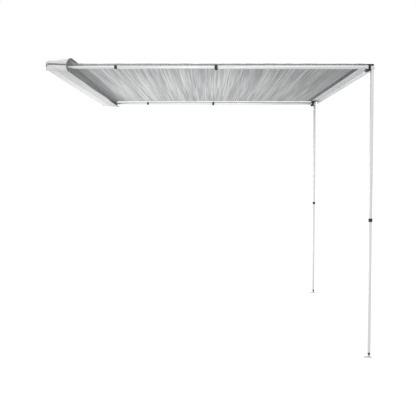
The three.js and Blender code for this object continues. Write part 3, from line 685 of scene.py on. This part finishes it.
def canopy_cloth():
    """The canopy: one taut sheet that sags and creases, with its hems."""
    full_run = spread(CANOPY_START, CANOPY_END, CANOPY_ROWS)
    full_width = spread(-CANOPY_HALF, CANOPY_HALF, CANOPY_COLUMNS)
    rows = [[canopy_point(x, y) for y in full_width] for x in full_run]
    mesh = cloth_mesh("canopy_cloth", rows, CANOPY_THICKNESS, CANVAS, CANVAS)
    cloth = add_piece(mesh, ["canopy"])
    hems = canopy_hems()
    for piece in [cloth, *hems]:
        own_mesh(piece)


canopy_cloth()


# Bag: an upper and a lower flap reach from the wall rail to the mouth, with a zip panel at each end

ALONG_VEHICLE = Vector((0, 1, 0))
TAPE_THICKNESS = 0.8 * MM
FLAP_COLUMNS = 300
FLAP_WAVES = {UPPER_MOUTH: 3, LOWER_MOUTH: 2}  # how many waves lie along each mouth
FLAP_START = 0.02  # where its curve starts, past the neck and the turn
BEAD_RISE = 27.4 * MM  # how far above or below the middle a flap's bead lies


def up_or_down(mouth):
    """1 for the upper flap's mouth and -1 for the lower one's."""
    return math.copysign(1, mouth[1])


def curve_point(stops, t):
    """A point, as x and z, of the smooth curve from the first stop to the last that leans to the others."""
    last = len(stops) - 1
    pulls = [math.comb(last, k) * t ** k * (1 - t) ** (last - k) for k in range(last + 1)]
    return tuple(sum(pull * stop[axis] for pull, stop in zip(pulls, stops)) for axis in (0, 1))


def flap_path(mouth, u):
    """The middle line of a flap, as x and z: u is 0 in the wall rail's groove and 1 at the mouth."""
    level_share, turn_share, rise_share = 0.15, 0.72, 0.42
    root = up_or_down(mouth) * BAG_ROOT_RISE
    return curve_point([
        (BAG_ROOT_X, root),
        (lerp(BAG_ROOT_X, mouth[0], level_share), root),
        (lerp(BAG_ROOT_X, mouth[0], turn_share), lerp(root, mouth[1], rise_share)),
        mouth,
    ], u)


def flap_point(mouth, u, y):
    """A point of a flap's cloth. The mouth's edge waves a little, and soft creases cross the flap."""
    wave_height, roll_height, pucker_height = 3 * MM, 2.4 * MM, 0.7 * MM
    roll_length, pucker_length = 210 * MM, 48 * MM
    rolls_deep, puckers_deep = 1.3, 2.2  # how many of them lie between the root and the mouth
    roll_layer, pucker_layer = 5, 9  # far apart in the noise, so that they differ
    held_end = 70 * MM  # the cloth is held flat this near to its ends
    held_root = 0.25  # and over this share of its width at the root
    x, z = flap_path(mouth, u)
    side = up_or_down(mouth)
    along = min(max((y + BAG_END) / (2 * BAG_END), 0.0), 1.0)
    free = math.sin(math.pi * along)
    wave = wave_height * u * u * free * math.sin(2 * math.pi * FLAP_WAVES[mouth] * along)
    loose = smooth_step((BAG_END - abs(y)) / held_end) * smooth_step(u / held_root)
    roll = noise.noise(Vector((y / roll_length, rolls_deep * u, roll_layer * side)))
    pucker = noise.noise(Vector((y / pucker_length, puckers_deep * u, pucker_layer * side)))
    return Vector((x, y, z + wave + loose * (roll_height * roll + pucker_height * pucker)))


def flap_inward(mouth, u, y, depth):
    """A point on a flap at a depth under its middle, towards the inside of the bag."""
    point = flap_point(mouth, u, y)
    point.z -= up_or_down(mouth) * depth
    return point


def flap_columns(mouth):
    """Places along the bag, in the order that turns a flap's face outwards."""
    side = up_or_down(mouth)
    return spread(-side * BAG_END, side * BAG_END, FLAP_COLUMNS)


def flap_strip(name, mouth, shares, depth, thickness, material):
    """A strip over the whole length of a flap, at shares of its width and a depth under its middle."""
    rows = [[flap_inward(mouth, u, y, depth) for y in flap_columns(mouth)] for u in shares]
    return cloth_mesh(name, rows, thickness, material, material)


def flap_stations(mouth, u, depth, pitch):
    """Places at an even pitch along a flap, each with the way out to the mouth."""
    stations = []
    for k in range(int(2 * BAG_END / pitch)):
        y = -BAG_END + (k + 0.5) * pitch
        centre = flap_inward(mouth, u, y, depth)
        out = (flap_inward(mouth, u + 0.01, y, depth) - centre).normalized()
        stations.append((centre, out))
    return stations


def bag_flap(name, mouth):
    """A flap from its bead in the groove, up the neck, round the turn and out to the mouth."""
    side = up_or_down(mouth)
    columns = flap_columns(mouth)
    neck_heights = (BEAD_RISE, 29.5 * MM, 31.5 * MM)
    neck = [(BAG_ROOT_X, height) for height in neck_heights]
    turn = (BAG_ROOT_X + 0.4 * MM, BAG_ROOT_RISE - 0.5 * MM)
    rows = [[Vector((x, y, side * height)) for y in columns] for x, height in [*neck, turn]]
    rows += [[flap_point(mouth, u, y) for y in columns] for u in spread(FLAP_START, 1.0, steps=30)]
    mesh = cloth_mesh(name, rows, BAG_CLOTH, BAG_FACE, BAG_BACK)
    cloth = add_piece(mesh, [name.replace("_cloth", "")])
    width = line_length([row[len(row) // 2] for row in rows])
    return cloth, width


def flap_bead(name, mouth):
    """The round bead along a flap's root, which the wall rail's groove holds."""
    radius = 2.5 * MM
    level = up_or_down(mouth) * BEAD_RISE
    line = [Vector((BAG_ROOT_X, y, level)) for y in spread(-BAG_END, BAG_END, steps=12)]
    return add_piece(tube(name, line, radius, BAG_PIPING, sides=14))


def zip_half(name, mouth):
    """A zip tape sewn under a flap's free edge, with its own row of teeth."""
    depth, thickness = 1.7 * MM, 0.9 * MM
    tape_start, teeth_at, tape_end = 0.95, 1.05, 1.055
    pitch = 5 * MM  # a real zip of this size has a tooth every 3 mm, too fine to show
    tooth = (4.5 * MM, 2.8 * MM, 2.4 * MM)
    tape = flap_strip(name, mouth, spread(tape_start, tape_end, steps=6), depth, thickness, BAG_TAPE)
    stations = flap_stations(mouth, teeth_at, depth, pitch)
    places = [(centre, out, ALONG_VEHICLE, out.cross(ALONG_VEHICLE)) for centre, out in stations]
    teeth = small_blocks(name + "_teeth", places, tooth, ZIP_TEETH)
    return [add_piece(tape, [name.replace("_cloth", "")]), add_piece(teeth)]


def flap_stitches(name, mouth):
    """Two rows of lockstitch along the mouth, through the flap and the tape under it."""
    rows_at = (0.965, 0.99)
    depth = 0.5 * MM
    pitch = 7 * MM  # real stitches are 4 mm apart, too fine to show
    stitch = (4.6 * MM, 0.9 * MM, 3.2 * MM)
    stations = [station for u in rows_at for station in flap_stations(mouth, u, depth, pitch)]
    places = [(centre, ALONG_VEHICLE, out, out.cross(ALONG_VEHICLE)) for centre, out in stations]
    return add_piece(small_blocks(name, places, stitch, THREAD))


def flap_painted_highlight(name, mouth):
    """A raised strip of PVC over the outside of a flap along its root; its white is a painted highlight."""
    height = 1.3 * MM
    shares = spread(0.06, 0.46, steps=12)
    mesh = flap_strip(name, mouth, shares, -height, TAPE_THICKNESS, BAG_PAINTED_HIGHLIGHT)
    return add_piece(mesh)


# End panels of the bag: s runs from 0 at the wall rail to 1 at the mouth, and t from the top down

PANEL_LEVEL = BAG_END + 1.1 * MM
PANEL_REAR_TOP = (1 * MM, 30 * MM)
PANEL_REAR_FOOT = (1 * MM, -30 * MM)
PANEL_TOP = [PANEL_REAR_TOP, *[flap_path(UPPER_MOUTH, u) for u in spread(0, 1, steps=24)]]
PANEL_FOOT = [PANEL_REAR_FOOT, *[flap_path(LOWER_MOUTH, u) for u in spread(0, 1, steps=24)]]
MOUTH_DIP = (136 * MM, 4 * MM)  # draws the free edge inwards between the flaps
FOLD_START = 0.3  # how far down the fold lies at the wall rail
FOLD_END = 0.48  # how far down it lies at the mouth
PANEL_ROWS = 60
PANEL_COLUMNS = 36


def point_at(line, share):
    """The point at a share of a broken line's length."""
    lengths = [math.dist(a, b) for a, b in zip(line, line[1:])]
    left = share * sum(lengths)
    for start, end, length in zip(line, line[1:], lengths):
        if left <= length:
            return (lerp(start[0], end[0], left / length), lerp(start[1], end[1], left / length))
        left -= length
    return line[-1]


def mouth_arc(t):
    """The free edge of an end panel, hollowed between the two flaps' corners."""
    return curve_point([UPPER_MOUTH, MOUTH_DIP, LOWER_MOUTH], t)


def panel_place(s, t):
    """A place in an end panel, blended from its four edges."""
    top, foot = point_at(PANEL_TOP, s), point_at(PANEL_FOOT, s)
    rear, free = point_at([PANEL_REAR_TOP, PANEL_REAR_FOOT], t), mouth_arc(t)
    place = []
    for axis in (0, 1):
        between = lerp(top[axis], foot[axis], t) + lerp(rear[axis], free[axis], s)
        top_chord = lerp(PANEL_TOP[0][axis], PANEL_TOP[-1][axis], s)
        foot_chord = lerp(PANEL_FOOT[0][axis], PANEL_FOOT[-1][axis], s)
        place.append(between - lerp(top_chord, foot_chord, t))
    return place


def panel_point(side, s, t):
    """A point of the cloth of an end panel, which swells outwards above and below its fold."""
    flat_until, swells_over = 22 * MM, 50 * MM
    swell_height, crease_height = 2.6 * MM, 1.6 * MM
    crease_length, crease_width = 35 * MM, 16 * MM
    crease_layer = 4
    x, z = panel_place(s, t)
    fold = lerp(FOLD_START, FOLD_END, s)
    lobe = math.sin(math.pi * (t / fold if t < fold else (t - fold) / (1 - fold)))
    crease = noise.noise(Vector((x / crease_length, z / crease_width, crease_layer * side)))
    swell = smooth_step((x - flat_until) / swells_over) * max(lobe, 0.0)
    out = PANEL_LEVEL + swell * (swell_height + crease_height * crease)
    return Vector((x, side * out, z))


def outwards(side, height):
    """A step away from the bag, square to an end panel."""
    return Vector((0, side * height, 0))


def panel_piping(name, side):
    """Two cords of piping, along the seams between an end panel and the flaps."""
    radius = 1.7 * MM
    seam_y = side * (BAG_END + 0.6 * MM)
    cords = []
    for edge, mouth in (("upper", UPPER_MOUTH), ("lower", LOWER_MOUTH)):
        path = [flap_path(mouth, u) for u in spread(0.01, 1, steps=40)]
        line = [Vector((x, seam_y, z)) for x, z in path]
        cords.append(add_piece(tube(f"{name}_{edge}_piping", line, radius, BAG_PIPING)))
    return cords


def mouth_binding(name, side):
    """A tape that binds the free edge of an end panel."""
    inner_share = 0.955
    lift = outwards(side, 1.1 * MM)
    rows = []
    for t in spread(0, 1, PANEL_COLUMNS):
        row = [panel_point(side, s, t) + lift for s in (inner_share, 1.0)]
        rows.append(row[::side])
    mesh = cloth_mesh(name + "_mouth_binding", rows, TAPE_THICKNESS, BAG_TAPE, BAG_TAPE)
    return add_piece(mesh)


def end_zip_rows(side):
    """Rows of points of the zip tape that follows the fold of an end panel."""
    half_tape = 5.5 * MM
    start_share, end_share = 0.1, 0.97
    lift = outwards(side, 1.2 * MM)
    rows = []
    for s in spread(start_share, end_share, steps=80):
        fold = lerp(FOLD_START, FOLD_END, s)
        height = (panel_point(side, s, 0) - panel_point(side, s, 1)).length
        step = half_tape / height
        row = [panel_point(side, s, fold + k * step) + lift for k in spread(-1, 1, steps=4)]
        rows.append(row[::side])
    return rows


def coil_places(line, side, pitch):
    """Places of a coil's turns, at an even pitch along a line on an end panel."""
    count = int(line_length(line) / pitch)
    places = []
    for k in range(count):
        along = (k + 0.5) / count * (len(line) - 1)
        low = int(along)
        centre = line[low].lerp(line[low + 1], along - low)
        run = (line[low + 1] - line[low]).normalized()
        up = run.cross(outwards(side, 1)).normalized()
        places.append((centre, up, run, up.cross(run)))
    return places


def end_zip(name, side):
    """The zip along the fold of an end panel: its tape, and the coil down the middle of the tape."""
    pitch = 4 * MM  # the real coil turns every 2 mm, too fine to show
    turn = (4.6 * MM, 2.6 * MM, 1.4 * MM)
    rows = end_zip_rows(side)
    tape = cloth_mesh(name + "_end_zip_tape", rows, TAPE_THICKNESS, BAG_TAPE, BAG_TAPE)
    line = [row[len(row) // 2] + outwards(side, 0.7 * MM) for row in rows]
    coil = small_blocks(name + "_end_zip_coil", coil_places(line, side, pitch), turn, ZIP_TEETH)
    return [add_piece(tape), add_piece(coil)]


def end_panel(name, side):
    """The panel that closes one end of the bag, with its piping, its bound mouth and its zip."""
    down = spread(0, 1, PANEL_COLUMNS)[::side]
    rows = [[panel_point(side, s, t) for t in down] for s in spread(0, 1, PANEL_ROWS)]
    # The end panel's face takes the lighter copy of the cloth: painted light
    mesh = cloth_mesh(name + "_panel_cloth", rows, BAG_CLOTH, BAG_END_FACE_PAINTED_LIGHT, BAG_BACK)
    panel = add_piece(mesh, [name + "_bag_end_panel"])
    trim = [*panel_piping(name, side), mouth_binding(name, side), *end_zip(name, side)]
    return panel, trim


def bag():
    """The whole bag: its end panels first, then each flap with its bead, zip, stitches and white strip of
    painted highlight.
    """
    panels = [end_panel("near", -1), end_panel("far", 1)]
    for name, mouth in (("upper", UPPER_MOUTH), ("lower", LOWER_MOUTH)):
        cloth, width = bag_flap(f"bag_{name}_flap_cloth", mouth)
        pieces = [
            flap_bead(f"bag_{name}_bead", mouth),
            *zip_half(f"{name}_zip_tape_cloth", mouth),
            flap_stitches(f"bag_{name}_stitches", mouth),
            flap_painted_highlight(f"bag_{name}_painted_highlight_strip", mouth),
        ]


bag()


# Camera: placed as the photograph's, below the arms and above the feet

def photo_camera():
    """The camera that fits the photograph, level but for a small tilt down."""
    tilt_down = 2.38  # degrees
    data = bpy.data.cameras.new("photo_camera")
    data.sensor_width = 36
    data.lens = 52.33
    data.shift_y = -0.0293
    camera = put_in_scene("photo_camera", data)
    camera.location = (1.221, -5.844, -0.790)
    camera.rotation_euler = (math.radians(90 - tilt_down), 0, 0)
    bpy.context.scene.camera = camera


photo_camera()


# Studio

def shows_background(tree):
    """1 for rays that look at the background, or see it mirrored or through glass; 0 for light."""
    rays = add(tree, "ShaderNodeLightPath")
    first = add(tree, "ShaderNodeMath", {
        0: rays.outputs["Is Camera Ray"],
        1: rays.outputs["Is Glossy Ray"],
    }, operation="MAXIMUM")
    return add(tree, "ShaderNodeMath", {
        0: first.outputs[0],
        1: rays.outputs["Is Transmission Ray"],
    }, operation="MAXIMUM").outputs[0]


def white_world(light):
    """A white world: pure white as a background, and of the given strength as light."""
    world = bpy.data.worlds.new("white_studio")
    bpy.context.scene.world = world
    world.use_nodes = True
    tree = world.node_tree
    tree.nodes.clear()
    strength = add(tree, "ShaderNodeMapRange", {
        "Value": shows_background(tree),
        "To Min": light,
        "To Max": 1.0,
    })
    background = add(tree, "ShaderNodeBackground", {
        "Color": linear("FFFFFF"),
        "Strength": strength.outputs[0],
    })
    add(tree, "ShaderNodeOutputWorld", {"Surface": background.outputs[0]})


def pale_floor(glow):
    """A wide pale floor under the feet, which looks white and keeps the soft shadow."""
    reach = 40.0
    mesh = bpy.data.meshes.new("studio_floor")
    corners = [(-reach, -reach), (reach, -reach), (reach, reach), (-reach, reach)]
    mesh.from_pydata([(x, y, FLOOR_LEVEL) for x, y in corners], [], [(0, 1, 2, 3)])
    material, tree, output, _ = new_material("matt_white_floor")
    diffuse = add(tree, "ShaderNodeBsdfDiffuse", {"Color": linear("8C8C8C")})
    strength = add(tree, "ShaderNodeMath", {0: shows_background(tree), 1: glow}, operation="MULTIPLY")
    lit = add(tree, "ShaderNodeEmission", {"Color": linear("FFFFFF"), "Strength": strength.outputs[0]})
    both = add(tree, "ShaderNodeAddShader", {0: diffuse.outputs[0], 1: lit.outputs[0]})
    tree.links.new(both.outputs[0], output.inputs[0])
    mesh.materials.append(material)
    put_in_scene("studio_floor", mesh)


def facing(location, target):
    """The turn that points a lamp from its place at a target."""
    return (Vector(target) - Vector(location)).to_track_quat("-Z", "Y").to_euler()


def soft_lamp(name, width, height, power, location, target, spread_angle=180):
    """A rectangular soft lamp, in watts, whose light leaves within the spread angle."""
    data = bpy.data.lights.new(name, "AREA")
    data.shape = "RECTANGLE"
    data.size = width
    data.size_y = height
    data.energy = power
    data.spread = math.radians(spread_angle)
    lamp = put_in_scene(name, data)
    lamp.location = location
    lamp.visible_camera = False
    lamp.rotation_euler = facing(location, target)


def soft_sun(name, strength, spread_angle, location, target):
    """A far lamp, which lights the near and the far side alike."""
    data = bpy.data.lights.new(name, "SUN")
    data.energy = strength
    data.angle = math.radians(spread_angle)
    lamp = put_in_scene(name, data)
    lamp.rotation_euler = facing(location, target)


white_world(light=0.9)
pale_floor(glow=0.8)
soft_sun("key_lamp", strength=0.8, spread_angle=30, location=(1.8, -4.0, 5.6), target=(1.2, 0, 0))
soft_lamp("under_lamp", width=2.8, height=2.8, power=125, location=(-1.9, 0.5, -2.1), target=(1.0, 0.2, 0))
soft_lamp(
    "far_lamp", width=0.8, height=0.8, power=5, location=(1.1, -3.2, -1.7), target=(1.2, 1.3, 0.1),
    spread_angle=40,
)
soft_lamp(
    "mouth_lamp", width=2.4, height=0.3, power=1.5, location=(2.5, 0.0, -1.1), target=(-0.4, 0.0, 0.0),
    spread_angle=24,
)

bpy.context.scene.view_settings.view_transform = "Standard"
